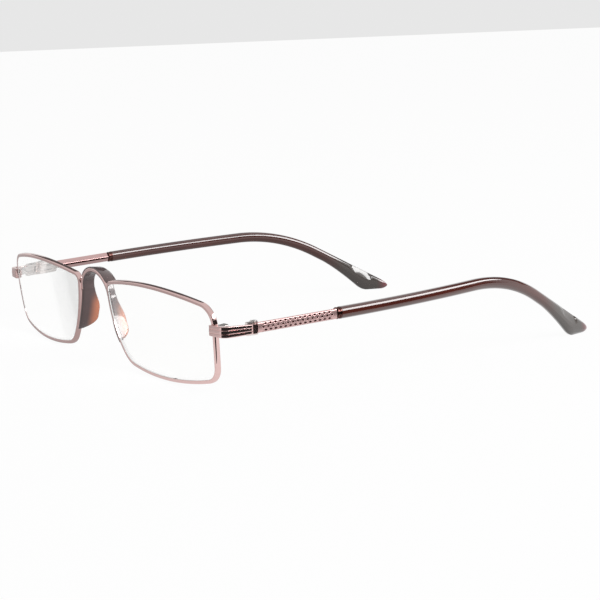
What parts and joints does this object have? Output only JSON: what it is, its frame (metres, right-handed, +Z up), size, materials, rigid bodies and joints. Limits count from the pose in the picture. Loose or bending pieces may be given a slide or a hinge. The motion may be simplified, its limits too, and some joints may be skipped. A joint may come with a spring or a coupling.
{
  "type": "reading glasses",
  "caption": "Full-rim metal reading glasses with low rectangular lenses, a saddle nose bridge, textured hinge arms and folding temples with plastic ear sleeves.",
  "frame": {"origin": "on the table, in the middle of the footprint of the opened glasses", "axes": "+X to the wearer's left, +Y from the front to the ears, +Z up; the wearer looks along -Y"},
  "size_m": [0.1456, 0.1414, 0.0277],
  "materials": {
    "rose_metal": "polished plating in a rose bronze tone",
    "bare_metal": "pale satin metal",
    "dark_metal": "dark brown plated metal",
    "screw_steel": "turned steel",
    "clear_lens": "clear polished lens plastic",
    "saddle_plastic": "translucent brown plastic",
    "sleeve_plastic": "polished translucent red-brown plastic"
  },
  "bodies": {
    "front": {"rim_left": "rose_metal", "rim_right": "rose_metal", "lens_left": "clear_lens", "lens_right": "clear_lens", "bridge": "rose_metal", "nose_saddle": "saddle_plastic", "end_piece_left": "rose_metal", "end_piece_right": "rose_metal", "closing_block_upper_left": "bare_metal", "closing_block_upper_right": "bare_metal", "closing_block_lower_left": "bare_metal", "closing_block_lower_right": "bare_metal", "rim_screw_left": "screw_steel", "rim_screw_right": "screw_steel", "front_hinge_left": "bare_metal", "front_hinge_right": "bare_metal", "hinge_screw_left": "screw_steel", "hinge_screw_right": "screw_steel"},
    "temple_left": {"temple_hinge_left": "bare_metal", "temple_bar_left": "rose_metal", "collar_left": "dark_metal", "temple_sleeve_left": "sleeve_plastic"},
    "temple_right": {"temple_hinge_right": "bare_metal", "temple_bar_right": "rose_metal", "collar_right": "dark_metal", "temple_sleeve_right": "sleeve_plastic"}
  },
  "joints": [
    {"name": "left_temple_fold", "type": "hinge", "parent": "front", "child": "temple_left", "pos_m": [0.0688, -0.0552, 0.0176], "axis": [0, 0, 1], "range_deg": [0, 85]},
    {"name": "right_temple_fold", "type": "hinge", "parent": "front", "child": "temple_right", "pos_m": [-0.0688, -0.0552, 0.0176], "axis": [0, 0, -1], "range_deg": [0, 80]}
  ]
}
